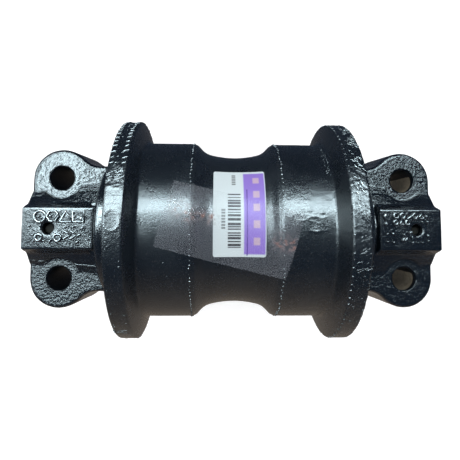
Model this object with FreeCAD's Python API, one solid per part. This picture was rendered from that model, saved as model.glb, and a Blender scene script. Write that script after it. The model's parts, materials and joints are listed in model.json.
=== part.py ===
"""Track roller of a small crawler excavator: a double-flanged roller shell that turns on a fixed,
oil-filled shaft held by two cast end collars. The collars bolt to the track frame with four bolts.

Row frame, millimetres: +X along the shaft, +Z away from the mounting face, towards the bolt heads and
the track chain, Y across the machine's rail. The origin is on the shaft axis, half-way between the
flanges.
"""

import FreeCAD, Part
import os
from math import asin, cos, pi, radians, sin, sqrt

V = FreeCAD.Vector
OVERCUT = 1.0  # how far a cutting tool runs past the metal
X_AXIS = V(1, 0, 0)
Z_AXIS = V(0, 0, 1)
ORIGIN = V(0, 0, 0)

# Running surfaces of the roller shell
TREAD_R = 64.0
FLANGE_R = 79.0
FLANGE_OUT_X = 79.0  # outer face of each flange
FLANGE_RIM_W = 11.8  # width of the flange's rim
TREAD_OUT_X = 60.8  # where the tread meets the flange's root
TREAD_IN_X = 29.5  # where the tread meets the waist's edge chamfer
EDGE_CHAMFER_X = 2.9
EDGE_CHAMFER_R = 1.2
FLANGE_ROOT_FILLET = 3.5
RIM_ROUND = 1.0

# Waist between the two treads
WAIST_R = 53.6
WAIST_ARC_R = 69.0  # radius of the shallow arc along the axis
WAIST_ARC_HALF_X = 17.0
WAIST_BLEND_R = 14.0
WAIST_WALL_DEG = 48.0

# Shell bore
SHELL_RECESS_R = 49.5  # the collar's disc sits in this recess
SHELL_RECESS_X = 74.0
RECESS_CHAMFER = 1.0
BUSH_SEAT_R = 25.0
CAVITY_R = 33.0
CAVITY_HALF_X = 14.0
CAVITY_TAPER = 2.0
SEAL_MOUTH_FLARE = 1.2
SEAL_MOUTH_DEPTH = 1.8

# Shaft
SHAFT_R = 21.0
SHAFT_HALF = 145.0
SHOULDER_R = 24.5
SHOULDER_HALF_X = 9.75
SHAFT_END_CHAMFER = 1.5
SHOULDER_CHAMFER = 0.5
OIL_GALLERY_END_X = -4.0
OIL_GALLERY_R = 4.0
OIL_CROSS_R = 3.0
PLUG_THREAD_R = 7.0
PLUG_BORE_DEPTH = 15.0
PLUG_SEAT_R = 10.0
PLUG_SEAT_DEPTH = 4.6
PLUG_SEAT_X = SHAFT_HALF - PLUG_SEAT_DEPTH
CENTRE_DRILL_R = 4.2
CENTRE_DRILL_DEPTH = 5.0

# Bushes
BUSH_BORE_R = 21.05  # 0.05 running clearance
BUSH_IN_X = 10.0  # 0.25 end float to the shaft's shoulder
BUSH_FLANGE_X = 56.0
BUSH_FLANGE_T = 4.0
BUSH_FLANGE_R = 31.0
BUSH_FLANGE_GAP = 0.05
BUSH_PRESS_GAP = 0.01
BUSH_BORE_CHAMFER = 0.6
BUSH_LEAD_X = 1.5
BUSH_LEAD_R = 0.8
OIL_GROOVE_HALF_W = 2.0
OIL_GROOVE_DEPTH = 1.0

# Face seals
SEAL_PLANE_X = 74.75
SEAL_BORE_R = 36.0
SEAL_DEPTH = 10.2
SEAL_FILM = 0.05  # half of the oil film between the two seal faces
SEAL_FACE_IN_R = 28.4
SEAL_FACE_OUT_R = 32.2
SEAL_RIM_R = 33.4
SEAL_RIM_START = 0.9
SEAL_RIM_END = 2.6
SEAL_RAMP_START = 2.9
SEAL_RAMP_END = 9.3
SEAL_RAMP_R = 29.6
SEAL_RAMP_FALL = 1.0
SEAL_RING_BORE_R = 25.2
SEAL_DISH = 1.2
TORIC_MINOR_R = 3.3
TORIC_MAJOR_R = 32.5
TORIC_OFFSET = 6.3

# Collars
COLLAR_DISC_IN_X = 75.6
COLLAR_DISC_OUT_X = 93.0
COLLAR_DISC_R = 47.5
COLLAR_END_X = 146.3
COLLAR_BORE_R = 21.02
DISC_ROUND = 2.0
DISC_CHAMFER = 1.0
FOOT_BURIED = 5.0  # how far the foot runs into the disc
MOUNT_Z = -36.0  # machined face against the track frame
LUG_TOP_Z = 15.0  # bolt seat
BOLT_X = 125.0
BOLT_Y = 36.0
BOLT_HOLE_R = 8.5  # M16 bolt
BOLT_HEAD_CLEAR_R = 15.0
EYE_R_TOP = 21.0
EYE_R_BASE = 22.5
NECK_Y_TOP = 45.0
NECK_Y_BASE = 50.0
NECK_FILLET_R = 17.0
FOOT_RIM_ROUND = 2.5
RELIEF_HALF_Y = 14.0  # cast relief between the two machined pads
RELIEF_DEPTH = 4.0
BLOCK_TOP_Z = 30.0
BLOCK_HALF_Y = 14.3
BLOCK_FOOT_HALF_Y = 17.5
BLOCK_IN_X = 102.0
HUB_SHOULDER_Z = 21.5
HUB_FOOT_Y_IN = 34.0  # the hub widens towards the disc
HUB_FOOT_Y_OUT = 25.5
ORING_GROOVE_X = 97.0
ORING_GROOVE_W = 3.6
ORING_GROOVE_R = 23.9
ORING_MINOR_R = 1.4

# Lock pins
PIN_X = 128.5
PIN_R = 4.0
PIN_HOLE_R = 4.03
PIN_FOOT_Z = 9.5
PIN_TOP_Z = 25.0
PIN_FOOT_GAP = 0.3
PIN_CHAMFER = 0.8

# Oil plug
PLUG_LENGTH = 9.5
PLUG_HEAD_R = 9.6
PLUG_HEAD_T = 3.2
PLUG_CHAMFER = 0.5
SOCKET_CORNER_R = 4.6  # 8 mm across the flats
SOCKET_FLOOR = 3.0  # below the washer's seat
WASHER_T = 1.0
WASHER_R = 9.5
THREAD_GAP = 0.05
FACE_GAP = 0.01

# Sticker and tape on the shell
LABEL_HALF_X = 17.0
LABEL_CENTRE_X = 1.9
LABEL_LOW_DEG = -19.0  # measured from +Z towards +Y
LABEL_HIGH_DEG = 46.0
LABEL_GAP = 0.06
LABEL_T = 0.24
TAPE_GAP = 0.45
TAPE_T = 0.25
TAPE_LENGTH = 84.0
TAPE_WIDTH = 42.0
TAPE_TURN_DEG = -15.0
TAPE_CENTRE_X = 1.0
TAPE_CENTRE_Y = 4.5
TAPE_LOW_DEG = -60.0  # wider than the tape, whose edges are cut by its rectangle
TAPE_HIGH_DEG = 75.0


def save(name, shape):
    """Writes one sub-part and stops if it isn't made of valid closed solids."""
    if not shape.isValid() or not shape.Solids or shape.Volume <= 0:
        raise ValueError(f"{name} isn't a valid closed solid")
    shape.exportStep(f"parts/{name}.step")


def save_pair(name, right_shape):
    """Writes a sub-part of the +X end and its mirror image at the -X end."""
    save(f"{name}_right", right_shape)
    save(f"{name}_left", right_shape.mirror(ORIGIN, X_AXIS))


def line(a, b):
    return Part.LineSegment(a, b).toShape()


def arc(a, through, b):
    return Part.Arc(a, through, b).toShape()


def polygon(points):
    """Closed wire through points (vectors)."""
    return Part.Wire([line(a, b) for a, b in zip(points, points[1:] + points[:1])])


def turned(points):
    """Solid of revolution about the X axis from a closed outline of (x, r) points."""
    wire = polygon([V(x, 0, r) for x, r in points])
    return Part.Face(wire).revolve(ORIGIN, X_AXIS, 360)


def rod_x(radius, x0, x1):
    """Round bar along X."""
    return Part.makeCylinder(radius, x1 - x0, V(x0, 0, 0), X_AXIS)


def rod_z(radius, x, y, z0, z1):
    """Round bar along Z."""
    return Part.makeCylinder(radius, z1 - z0, V(x, y, z0), Z_AXIS)


def torus_x(major, minor, x):
    """Ring of round section around the X axis."""
    return Part.makeTorus(major, minor, V(x, 0, 0), X_AXIS)


def waist_points(offset):
    """Points of the waist's +X half, raised by offset: middle and end of the shallow arc, middle and end
    of the blend arc, and the foot and top of the tread's edge chamfer."""
    start = asin(WAIST_ARC_HALF_X / WAIST_ARC_R)
    wall = radians(WAIST_WALL_DEG)

    def on_arc(angle):
        return WAIST_ARC_R * sin(angle), WAIST_R + WAIST_ARC_R * (1 - cos(angle))

    x1, r1 = on_arc(start)

    def on_blend(angle):
        return (
            x1 + WAIST_BLEND_R * (sin(angle) - sin(start)),
            r1 + WAIST_BLEND_R * (cos(start) - cos(angle)),
        )

    chamfer = [
        (TREAD_IN_X - EDGE_CHAMFER_X, TREAD_R - EDGE_CHAMFER_R),
        (TREAD_IN_X, TREAD_R),
    ]
    points = [on_arc(start / 2), (x1, r1), on_blend((start + wall) / 2), on_blend(wall)] + chamfer
    return [(x, r + offset) for x, r in points]


def outer_half(side, offset=0.0, end_x=TREAD_OUT_X):
    """Edges of the running profile on one side (+1 or -1 along X), from the waist's middle out to end_x."""
    middle = V(0, 0, WAIST_R + offset)
    arc_mid, arc_end, blend_mid, blend_end, chamfer_foot, tread_in = [
        V(side * x, 0, r) for x, r in waist_points(offset)
    ]
    return [
        arc(middle, arc_mid, arc_end),
        arc(arc_end, blend_mid, blend_end),
        line(blend_end, chamfer_foot),
        line(chamfer_foot, tread_in),
        line(tread_in, V(side * end_x, 0, TREAD_R + offset)),
    ]


def bore_points():
    """Outline of the +X half behind the tread: flange, recess, seal bore, bush seat and oil cavity."""
    rim_in_x = FLANGE_OUT_X - FLANGE_RIM_W
    root = FLANGE_ROOT_FILLET
    floor_x = SEAL_PLANE_X - SEAL_DEPTH
    outline = [
        (TREAD_OUT_X, TREAD_R),
        (TREAD_OUT_X + 0.35 * root, TREAD_R + 0.12 * root),
        (TREAD_OUT_X + 0.62 * root, TREAD_R + 0.62 * root),
        (rim_in_x - 0.4 * RIM_ROUND, FLANGE_R - RIM_ROUND),
        (rim_in_x + 0.4 * RIM_ROUND, FLANGE_R),
        (FLANGE_OUT_X - RIM_ROUND, FLANGE_R),
        (FLANGE_OUT_X, FLANGE_R - RIM_ROUND),
        (FLANGE_OUT_X, SHELL_RECESS_R + RECESS_CHAMFER),
        (FLANGE_OUT_X - RECESS_CHAMFER, SHELL_RECESS_R),
        (SHELL_RECESS_X, SHELL_RECESS_R),
        (SHELL_RECESS_X, SEAL_BORE_R + SEAL_MOUTH_FLARE),
        (SHELL_RECESS_X - SEAL_MOUTH_DEPTH, SEAL_BORE_R),
        (floor_x, SEAL_BORE_R),
        (floor_x, BUSH_FLANGE_R + BUSH_FLANGE_GAP),
        (BUSH_FLANGE_X, BUSH_FLANGE_R + BUSH_FLANGE_GAP),
        (BUSH_FLANGE_X, BUSH_SEAT_R),
        (CAVITY_HALF_X, BUSH_SEAT_R),
        (CAVITY_HALF_X - CAVITY_TAPER, CAVITY_R),
        (0, CAVITY_R),
        (0, WAIST_R),
    ]
    return [V(x, 0, r) for x, r in outline]


def shell_half():
    """Forged +X half of the shell: tread, flange and half of the waist. It is welded to its mirror image
    at X = 0."""
    points = bore_points()
    edges = outer_half(1) + [line(a, b) for a, b in zip(points, points[1:])]
    face = Part.Face(Part.Wire(Part.__sortEdges__(edges)))
    return face.revolve(ORIGIN, X_AXIS, 360)


def shaft():
    """Fixed shaft with a thrust shoulder, an oil gallery from the +X end and two blind lock-pin holes."""
    half = [
        (SHAFT_HALF, 0),
        (SHAFT_HALF, SHAFT_R - SHAFT_END_CHAMFER),
        (SHAFT_HALF - SHAFT_END_CHAMFER, SHAFT_R),
        (SHOULDER_HALF_X, SHAFT_R),
        (SHOULDER_HALF_X, SHOULDER_R - SHOULDER_CHAMFER),
        (SHOULDER_HALF_X - SHOULDER_CHAMFER, SHOULDER_R),
    ]
    body = turned(half + [(-x, r) for x, r in half[::-1]])
    gallery = rod_x(OIL_GALLERY_R, OIL_GALLERY_END_X, SHAFT_HALF)
    cross = rod_z(OIL_CROSS_R, 0, 0, -SHOULDER_R - OVERCUT, SHOULDER_R + OVERCUT)
    plug_bore = rod_x(PLUG_THREAD_R, SHAFT_HALF - PLUG_BORE_DEPTH, SHAFT_HALF)
    plug_seat = rod_x(PLUG_SEAT_R, PLUG_SEAT_X, SHAFT_HALF)
    drill_tip = V(CENTRE_DRILL_DEPTH - SHAFT_HALF, 0, 0)
    centre_drill = Part.makeCone(0, CENTRE_DRILL_R, CENTRE_DRILL_DEPTH, drill_tip, -X_AXIS)
    cuts = [gallery, cross, plug_bore, plug_seat, centre_drill]
    pin_hole_foot_z = PIN_FOOT_Z - PIN_FOOT_GAP
    cuts += [rod_z(PIN_HOLE_R, s * PIN_X, 0, pin_hole_foot_z, SHAFT_R + OVERCUT) for s in (1, -1)]
    return body.cut(cuts)


def bush():
    """Flanged bimetal bush of the +X end, with an oil groove around the middle of its bore."""
    groove_x = (BUSH_IN_X + BUSH_FLANGE_X) / 2
    out_x = BUSH_FLANGE_X + BUSH_FLANGE_T
    seat_r = BUSH_SEAT_R - BUSH_PRESS_GAP
    return turned([
        (BUSH_IN_X, BUSH_BORE_R + BUSH_BORE_CHAMFER),
        (BUSH_IN_X, seat_r - BUSH_LEAD_R),
        (BUSH_IN_X + BUSH_LEAD_X, seat_r),
        (BUSH_FLANGE_X, seat_r),
        (BUSH_FLANGE_X, BUSH_FLANGE_R),
        (out_x, BUSH_FLANGE_R),
        (out_x, BUSH_BORE_R + BUSH_BORE_CHAMFER),
        (out_x - BUSH_BORE_CHAMFER, BUSH_BORE_R),
        (groove_x + OIL_GROOVE_HALF_W, BUSH_BORE_R),
        (groove_x + OIL_GROOVE_HALF_W / 2, BUSH_BORE_R + OIL_GROOVE_DEPTH),
        (groove_x - OIL_GROOVE_HALF_W / 2, BUSH_BORE_R + OIL_GROOVE_DEPTH),
        (groove_x - OIL_GROOVE_HALF_W, BUSH_BORE_R),
        (BUSH_IN_X + BUSH_BORE_CHAMFER, BUSH_BORE_R),
    ])


def seal_ring(direction):
    """Metal face-seal ring of the +X end. direction is -1 for the shell's ring and +1 for the collar's.
    The section's points give the distance from the sealing plane and the radius."""
    section = [
        (SEAL_FILM, SEAL_FACE_IN_R),
        (SEAL_FILM, SEAL_FACE_OUT_R),
        (SEAL_RIM_START, SEAL_RIM_R),
        (SEAL_RIM_END, SEAL_RIM_R),
        (SEAL_RAMP_START, SEAL_RAMP_R),
        (SEAL_RAMP_END, SEAL_RAMP_R - SEAL_RAMP_FALL),
        (SEAL_RAMP_END, SEAL_RING_BORE_R),
        (SEAL_DISH, SEAL_RING_BORE_R),
    ]
    return turned([(SEAL_PLANE_X + direction * a, r) for a, r in section])


def collar_outline(z, eye_r, neck_y):
    """Plan outline of the collar's foot at height z: two bolt eyes joined to the disc by filleted necks."""
    reach = eye_r + NECK_FILLET_R
    rise = neck_y + NECK_FILLET_R - BOLT_Y
    run = sqrt(reach**2 - rise**2)
    fillet_x = BOLT_X - run
    share = eye_r / reach
    touch = (BOLT_X - run * share, BOLT_Y + rise * share)
    in_x = COLLAR_DISC_OUT_X - FOOT_BURIED

    def on_circle(cx, cy, r, angle):
        return (cx + r * cos(angle), cy + r * sin(angle))

    turn = asin(rise / reach)  # slope of the line of centres
    fillet_mid = on_circle(fillet_x, neck_y + NECK_FILLET_R, NECK_FILLET_R, -(pi / 2 + turn) / 2)
    eye_mid = on_circle(BOLT_X, BOLT_Y, eye_r, (pi - turn) / 2)
    neck_in = (in_x, neck_y)
    neck_out = (fillet_x, neck_y)
    eye_out = (BOLT_X + eye_r, BOLT_Y)

    def at(p, side):
        return V(p[0], side * p[1], z)

    edges = [line(at(neck_in, 1), at(neck_out, 1))]
    edges.append(arc(at(neck_out, 1), at(fillet_mid, 1), at(touch, 1)))
    edges.append(arc(at(touch, 1), at(eye_mid, 1), at(eye_out, 1)))
    edges.append(line(at(eye_out, 1), at(eye_out, -1)))
    edges.append(arc(at(eye_out, -1), at(eye_mid, -1), at(touch, -1)))
    edges.append(arc(at(touch, -1), at(fillet_mid, -1), at(neck_out, -1)))
    edges.append(line(at(neck_out, -1), at(neck_in, -1)))
    edges.append(line(at(neck_in, -1), at(neck_in, 1)))
    return Part.Wire(edges)


def collar_foot():
    """Drafted foot of the collar, from the mounting face up to the bolt seats, with its top edge rounded."""
    base = collar_outline(MOUNT_Z, EYE_R_BASE, NECK_Y_BASE)
    top = collar_outline(LUG_TOP_Z, EYE_R_TOP, NECK_Y_TOP)
    foot = Part.makeLoft([base, top], True, True)
    rim = [
        e for e in foot.Edges
        if abs(e.BoundBox.ZMin - LUG_TOP_Z) < 1e-4 and e.BoundBox.XMax > COLLAR_DISC_OUT_X
    ]
    return foot.makeFillet(FOOT_RIM_ROUND, rim)


def hub_section(x, foot_y):
    """Closed outline across the shaft: a flat top with a sloping shoulder either side."""
    half = [
        (foot_y, 0),
        (foot_y, LUG_TOP_Z),
        (BLOCK_FOOT_HALF_Y, HUB_SHOULDER_Z),
    ]
    points = half + [(-y, z) for y, z in half[::-1]]
    return polygon([V(x, y, z) for y, z in points])


def collar_disc():
    """Disc that closes the shell's end."""
    return turned([
        (COLLAR_DISC_IN_X, 0),
        (COLLAR_DISC_IN_X, COLLAR_DISC_R - DISC_CHAMFER),
        (COLLAR_DISC_IN_X + DISC_CHAMFER, COLLAR_DISC_R),
        (COLLAR_DISC_OUT_X - DISC_ROUND, COLLAR_DISC_R),
        (COLLAR_DISC_OUT_X, COLLAR_DISC_R - DISC_ROUND),
        (COLLAR_DISC_OUT_X, 0),
    ])


def pin_block():
    """Raised flat-topped block that carries the lock pin."""
    outline = [
        V(BLOCK_IN_X, -BLOCK_FOOT_HALF_Y, 0),
        V(BLOCK_IN_X, -BLOCK_FOOT_HALF_Y, HUB_SHOULDER_Z),
        V(BLOCK_IN_X, -BLOCK_HALF_Y, BLOCK_TOP_Z),
        V(BLOCK_IN_X, BLOCK_HALF_Y, BLOCK_TOP_Z),
        V(BLOCK_IN_X, BLOCK_FOOT_HALF_Y, HUB_SHOULDER_Z),
        V(BLOCK_IN_X, BLOCK_FOOT_HALF_Y, 0),
    ]
    return Part.Face(polygon(outline)).extrude(V(COLLAR_END_X - BLOCK_IN_X, 0, 0))


def hub():
    """Sloping body around the shaft, from the disc out to the collar's end, with its round underside."""
    upper = Part.makeLoft([
        hub_section(COLLAR_DISC_OUT_X - DISC_ROUND, HUB_FOOT_Y_IN),
        hub_section(COLLAR_END_X, HUB_FOOT_Y_OUT),
    ], True, True)
    return upper.fuse(rod_x(HUB_FOOT_Y_OUT, COLLAR_DISC_OUT_X - DISC_ROUND, COLLAR_END_X))


def seal_housing():
    """Cut for the collar's half of the face seal."""
    return turned([
        (COLLAR_DISC_IN_X - OVERCUT, 0),
        (COLLAR_DISC_IN_X - OVERCUT, SEAL_BORE_R + SEAL_MOUTH_FLARE),
        (COLLAR_DISC_IN_X, SEAL_BORE_R + SEAL_MOUTH_FLARE),
        (COLLAR_DISC_IN_X + SEAL_MOUTH_DEPTH, SEAL_BORE_R),
        (SEAL_PLANE_X + SEAL_DEPTH, SEAL_BORE_R),
        (SEAL_PLANE_X + SEAL_DEPTH, 0),
    ])


def pad_relief():
    """Cut along the underside that leaves two machined pads."""
    corner = V(COLLAR_DISC_OUT_X, -RELIEF_HALF_Y, MOUNT_Z - OVERCUT)
    length = COLLAR_END_X - COLLAR_DISC_OUT_X + OVERCUT
    return Part.makeBox(length, 2 * RELIEF_HALF_Y, RELIEF_DEPTH + OVERCUT, corner)


def collar():
    """Cast end collar of the +X end."""
    body = collar_disc().fuse([hub(), pin_block(), collar_foot()]).removeSplitter()
    groove_in_x = ORING_GROOVE_X - ORING_GROOVE_W / 2
    cuts = [
        rod_x(COLLAR_BORE_R, 0, COLLAR_END_X + OVERCUT),
        rod_x(ORING_GROOVE_R, groove_in_x, groove_in_x + ORING_GROOVE_W),
        seal_housing(),
        pad_relief(),
        rod_z(PIN_HOLE_R, PIN_X, 0, 0, BLOCK_TOP_Z + OVERCUT),
    ]
    for y in (BOLT_Y, -BOLT_Y):
        cuts.append(rod_z(BOLT_HOLE_R, BOLT_X, y, MOUNT_Z - OVERCUT, LUG_TOP_Z + OVERCUT))
        cuts.append(rod_z(BOLT_HEAD_CLEAR_R, BOLT_X, y, LUG_TOP_Z, BLOCK_TOP_Z))
    return body.cut(cuts)


def lock_pin():
    """Dowel that keys the collar of the +X end to the shaft."""
    pin = rod_z(PIN_R, PIN_X, 0, PIN_FOOT_Z, PIN_TOP_Z)
    return pin.makeChamfer(PIN_CHAMFER, [e for e in pin.Edges if isinstance(e.Curve, Part.Circle)])


def oil_plug():
    """Socket-head plug that closes the oil gallery at the +X end of the shaft."""
    thread_r = PLUG_THREAD_R - THREAD_GAP
    foot_x = PLUG_SEAT_X - PLUG_LENGTH
    head_x = PLUG_SEAT_X + WASHER_T + FACE_GAP
    top_x = head_x + PLUG_HEAD_T
    body = turned([
        (foot_x, 0),
        (foot_x, thread_r - PLUG_CHAMFER),
        (foot_x + PLUG_CHAMFER, thread_r),
        (head_x, thread_r),
        (head_x, PLUG_HEAD_R),
        (top_x - PLUG_CHAMFER, PLUG_HEAD_R),
        (top_x, PLUG_HEAD_R - PLUG_CHAMFER),
        (top_x, 0),
    ])
    floor_x = PLUG_SEAT_X - SOCKET_FLOOR
    corners = [
        V(floor_x, SOCKET_CORNER_R * cos(k * pi / 3), SOCKET_CORNER_R * sin(k * pi / 3)) for k in range(6)
    ]
    socket = Part.Face(polygon(corners)).extrude(V(top_x - floor_x + OVERCUT, 0, 0))
    return body.cut(socket)


def plug_washer():
    """Soft sealing washer under the oil plug's head."""
    disc = rod_x(WASHER_R, PLUG_SEAT_X + FACE_GAP, PLUG_SEAT_X + WASHER_T)
    return disc.cut(rod_x(PLUG_THREAD_R + THREAD_GAP, PLUG_SEAT_X - OVERCUT, SHAFT_HALF))


def skin(gap, thickness, end_x, low_deg, high_deg):
    """Thin solid over the treads and waist, out to end_x each way, between two angles from +Z towards
    +Y."""
    low_r, high_r = TREAD_R + gap, TREAD_R + gap + thickness
    edges = [line(V(x, 0, low_r), V(x, 0, high_r)) for x in (end_x, -end_x)]
    for offset in (gap, gap + thickness):
        edges += outer_half(1, offset, end_x) + outer_half(-1, offset, end_x)
    face = Part.Face(Part.Wire(Part.__sortEdges__(edges)))
    face.rotate(ORIGIN, X_AXIS, -high_deg)
    return face.revolve(ORIGIN, X_AXIS, high_deg - low_deg)


def barcode_label():
    """Paper label on the waist."""
    strip = skin(LABEL_GAP, LABEL_T, TREAD_OUT_X, LABEL_LOW_DEG, LABEL_HIGH_DEG)
    corner = V(LABEL_CENTRE_X - LABEL_HALF_X, -FLANGE_R, 0)
    window = Part.makeBox(2 * LABEL_HALF_X, 2 * FLANGE_R, FLANGE_R, corner)
    return strip.common(window)


def clear_tape():
    """Strip of clear tape laid askew over the label and both treads."""
    strip = skin(TAPE_GAP, TAPE_T, TREAD_OUT_X, TAPE_LOW_DEG, TAPE_HIGH_DEG)
    window = Part.makeBox(TAPE_LENGTH, TAPE_WIDTH, FLANGE_R, V(-TAPE_LENGTH / 2, -TAPE_WIDTH / 2, 0))
    window.rotate(ORIGIN, Z_AXIS, TAPE_TURN_DEG)
    window.translate(V(TAPE_CENTRE_X, TAPE_CENTRE_Y, 0))
    return strip.common(window)


def main():
    os.makedirs("parts", exist_ok=True)
    save_pair("shell_half", shell_half())
    save("shaft", shaft())
    save_pair("bush", bush())
    save_pair("collar", collar())
    save_pair("shell_seal_ring", seal_ring(-1))
    save_pair("collar_seal_ring", seal_ring(1))
    save_pair("shell_toric_ring", torus_x(TORIC_MAJOR_R, TORIC_MINOR_R, SEAL_PLANE_X - TORIC_OFFSET))
    save_pair("collar_toric_ring", torus_x(TORIC_MAJOR_R, TORIC_MINOR_R, SEAL_PLANE_X + TORIC_OFFSET))
    save_pair("shaft_o_ring", torus_x(SHAFT_R + 0.05 + ORING_MINOR_R, ORING_MINOR_R, ORING_GROOVE_X))
    save_pair("lock_pin", lock_pin())
    save("oil_plug", oil_plug())
    save("oil_plug_washer", plug_washer())
    save("barcode_label", barcode_label())
    save("clear_tape", clear_tape())


main()
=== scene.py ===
"""Looks of the track roller: painted shell with its machining marks, cast end collars, label, clear tape
and the materials of every inner piece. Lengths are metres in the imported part's own frame: +X along the
shaft, +Z towards the bolt heads, which is the side that the camera looks at.
"""

import json
from math import cos, degrees, pi, radians, sin

import bmesh
import bpy
import numpy as np
from mathutils import Matrix, Vector, noise


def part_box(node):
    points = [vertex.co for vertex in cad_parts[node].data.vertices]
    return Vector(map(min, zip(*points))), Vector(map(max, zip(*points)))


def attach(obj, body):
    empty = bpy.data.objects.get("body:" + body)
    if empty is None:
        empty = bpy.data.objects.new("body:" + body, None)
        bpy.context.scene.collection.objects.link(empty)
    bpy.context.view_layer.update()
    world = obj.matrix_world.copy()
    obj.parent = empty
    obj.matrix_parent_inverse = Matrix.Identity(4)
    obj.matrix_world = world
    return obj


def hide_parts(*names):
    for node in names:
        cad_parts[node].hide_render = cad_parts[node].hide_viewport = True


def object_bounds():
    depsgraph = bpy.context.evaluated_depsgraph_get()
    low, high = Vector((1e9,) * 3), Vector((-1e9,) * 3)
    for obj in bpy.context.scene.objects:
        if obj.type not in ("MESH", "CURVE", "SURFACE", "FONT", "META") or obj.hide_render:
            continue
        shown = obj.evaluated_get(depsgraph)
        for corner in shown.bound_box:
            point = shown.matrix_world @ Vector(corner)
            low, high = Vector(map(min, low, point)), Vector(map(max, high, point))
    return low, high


MM = 0.001

# Camera: place, turn about X, Y and Z in degrees, and lens
CAMERA_PLACE = (-0.0132, 0.0042, 0.3210)
CAMERA_TURN = (4.35, -1.89, 0.46)
CAMERA_LENS = 32.7
CAMERA_SHIFT_Y = -0.0843

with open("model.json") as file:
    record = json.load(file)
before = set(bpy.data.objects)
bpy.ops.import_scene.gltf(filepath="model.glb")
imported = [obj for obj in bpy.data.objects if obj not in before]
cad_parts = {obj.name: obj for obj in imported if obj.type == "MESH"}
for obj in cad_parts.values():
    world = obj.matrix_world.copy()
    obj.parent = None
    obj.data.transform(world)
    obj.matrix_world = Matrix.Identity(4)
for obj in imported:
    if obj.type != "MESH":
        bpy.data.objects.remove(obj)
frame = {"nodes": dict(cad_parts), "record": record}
cad_low, cad_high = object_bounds()
mounts = {m["name"]: m for m in frame["record"]["mounts"]}
bolt_dims = mounts["frame_bolts"]["dims"]
BOLT_X = bolt_dims["spacing_x_mm"] / 2 * MM
BOLT_Y = bolt_dims["spacing_y_mm"] / 2 * MM
BOLT_R = bolt_dims["hole_r_mm"] * MM
MOUNT_Z = mounts["frame_bolts"]["pos_m"][2]
TREAD_R = mounts["tread_right"]["dims"]["r_mm"] * MM
FLANGE_R = cad_high.z
FLANGE_OUT_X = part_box("shell_half_right")[1].x
DISC_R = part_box("collar_right")[1].z


def cad_points(node):
    """Vertices of a CAD node as an array."""
    return np.array([v.co for v in frame["nodes"][node].data.vertices], float)


def top_near(node, x, y, reach):
    """Highest z of a CAD node's vertices within reach of the upright line through x, y."""
    p = cad_points(node)
    return p[np.hypot(p[:, 0] - x, p[:, 1] - y) < reach, 2].max()


LUG_TOP_Z = top_near("collar_right", BOLT_X, BOLT_Y, BOLT_R + 1 * MM)
PIN_X = sum(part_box("lock_pin_right")[i].x for i in (0, 1)) / 2
BLOCK_TOP_Z = top_near("collar_right", PIN_X, 0, 5 * MM)

# Shell
COLUMNS = 720  # points around it
RIM_W = 11.8 * MM
TREAD_IN_X, TREAD_OUT_X = 29 * MM, 62 * MM  # the grainy skin of a tread lies between these
TEETH = 100  # chatter burrs around a rim
BEADS = 128  # around a tread's inner edge

# Collars
VOXEL = 0.62 * MM
DISC_SKIN_X = 93.5 * MM  # the disc's smoother skin ends here
BORE_SKIN_R = 23 * MM
PINHOLE_SKIN_R = 4.8 * MM
BLOCK_SKIN_HALF_Y = 16 * MM

# The photo's left block reaches further towards the disc than the CAD's: the added piece, in millimetres
INFILL_MIDDLE_X, INFILL_LENGTH = -100.5, 5.8
INFILL_TOP_HALF_Y, INFILL_FOOT_HALF_Y = 14.3, 16.0
INFILL_MIDDLE_Z, INFILL_HEIGHT = 22.0, 16.0

# Sheets. The tape is a little longer and wider than the CAD's, and straight across the waist, as in the photo
LABEL_GAP, LABEL_T = 0.10 * MM, 0.12 * MM
LABEL_CORNER = 1.6 * MM
TAPE_LENGTH, TAPE_WIDTH, TAPE_TURN = 85 * MM, 44 * MM, radians(-15)
TAPE_MIDDLE_X = -4.7 * MM
TAPE_GAP, TAPE_T = 0.42 * MM, 0.08 * MM


# ---------------------------------------------------------------- meshes

def new_piece(name, mesh, body, slot, material, *stands_for):
    """Puts a mesh in the scene as a piece of the object."""
    piece = bpy.data.objects.new(name, mesh)
    bpy.context.scene.collection.objects.link(piece)
    mesh.materials.clear()
    mesh.materials.append(material)
    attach(piece, body)
    if stands_for:
        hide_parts(*stands_for)
    return piece


def point_values(mesh, name, values):
    """Stores a number per vertex, which a material reads by its name."""
    layer = mesh.attributes.new(name, "FLOAT", "POINT")
    layer.data.foreach_set("value", np.asarray(values, np.float32).ravel())


def around_x(x, r, angle):
    """Points at x, radius r and an angle measured from +Z towards +Y."""
    return np.stack(np.broadcast_arrays(x, r * np.sin(angle), r * np.cos(angle)), -1)


def grid_quads(index):
    """Quads over a grid of vertex numbers."""
    corners = [index[:-1, :-1], index[1:, :-1], index[1:, 1:], index[:-1, 1:]]
    return np.stack(corners, -1).reshape(-1, 4).tolist()


def grid_mesh(name, points, closed_rows, closed_columns):
    """Quad mesh over an array of points (rows, columns, 3)."""
    rows, columns = points.shape[:2]
    index = np.arange(rows * columns).reshape(rows, columns)
    if closed_rows:
        index = np.vstack([index, index[:1]])
    if closed_columns:
        index = np.hstack([index, index[:, :1]])
    mesh = bpy.data.meshes.new(name)
    mesh.from_pydata(points.reshape(-1, 3).tolist(), [], grid_quads(index))
    mesh.shade_smooth()
    return mesh


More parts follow.
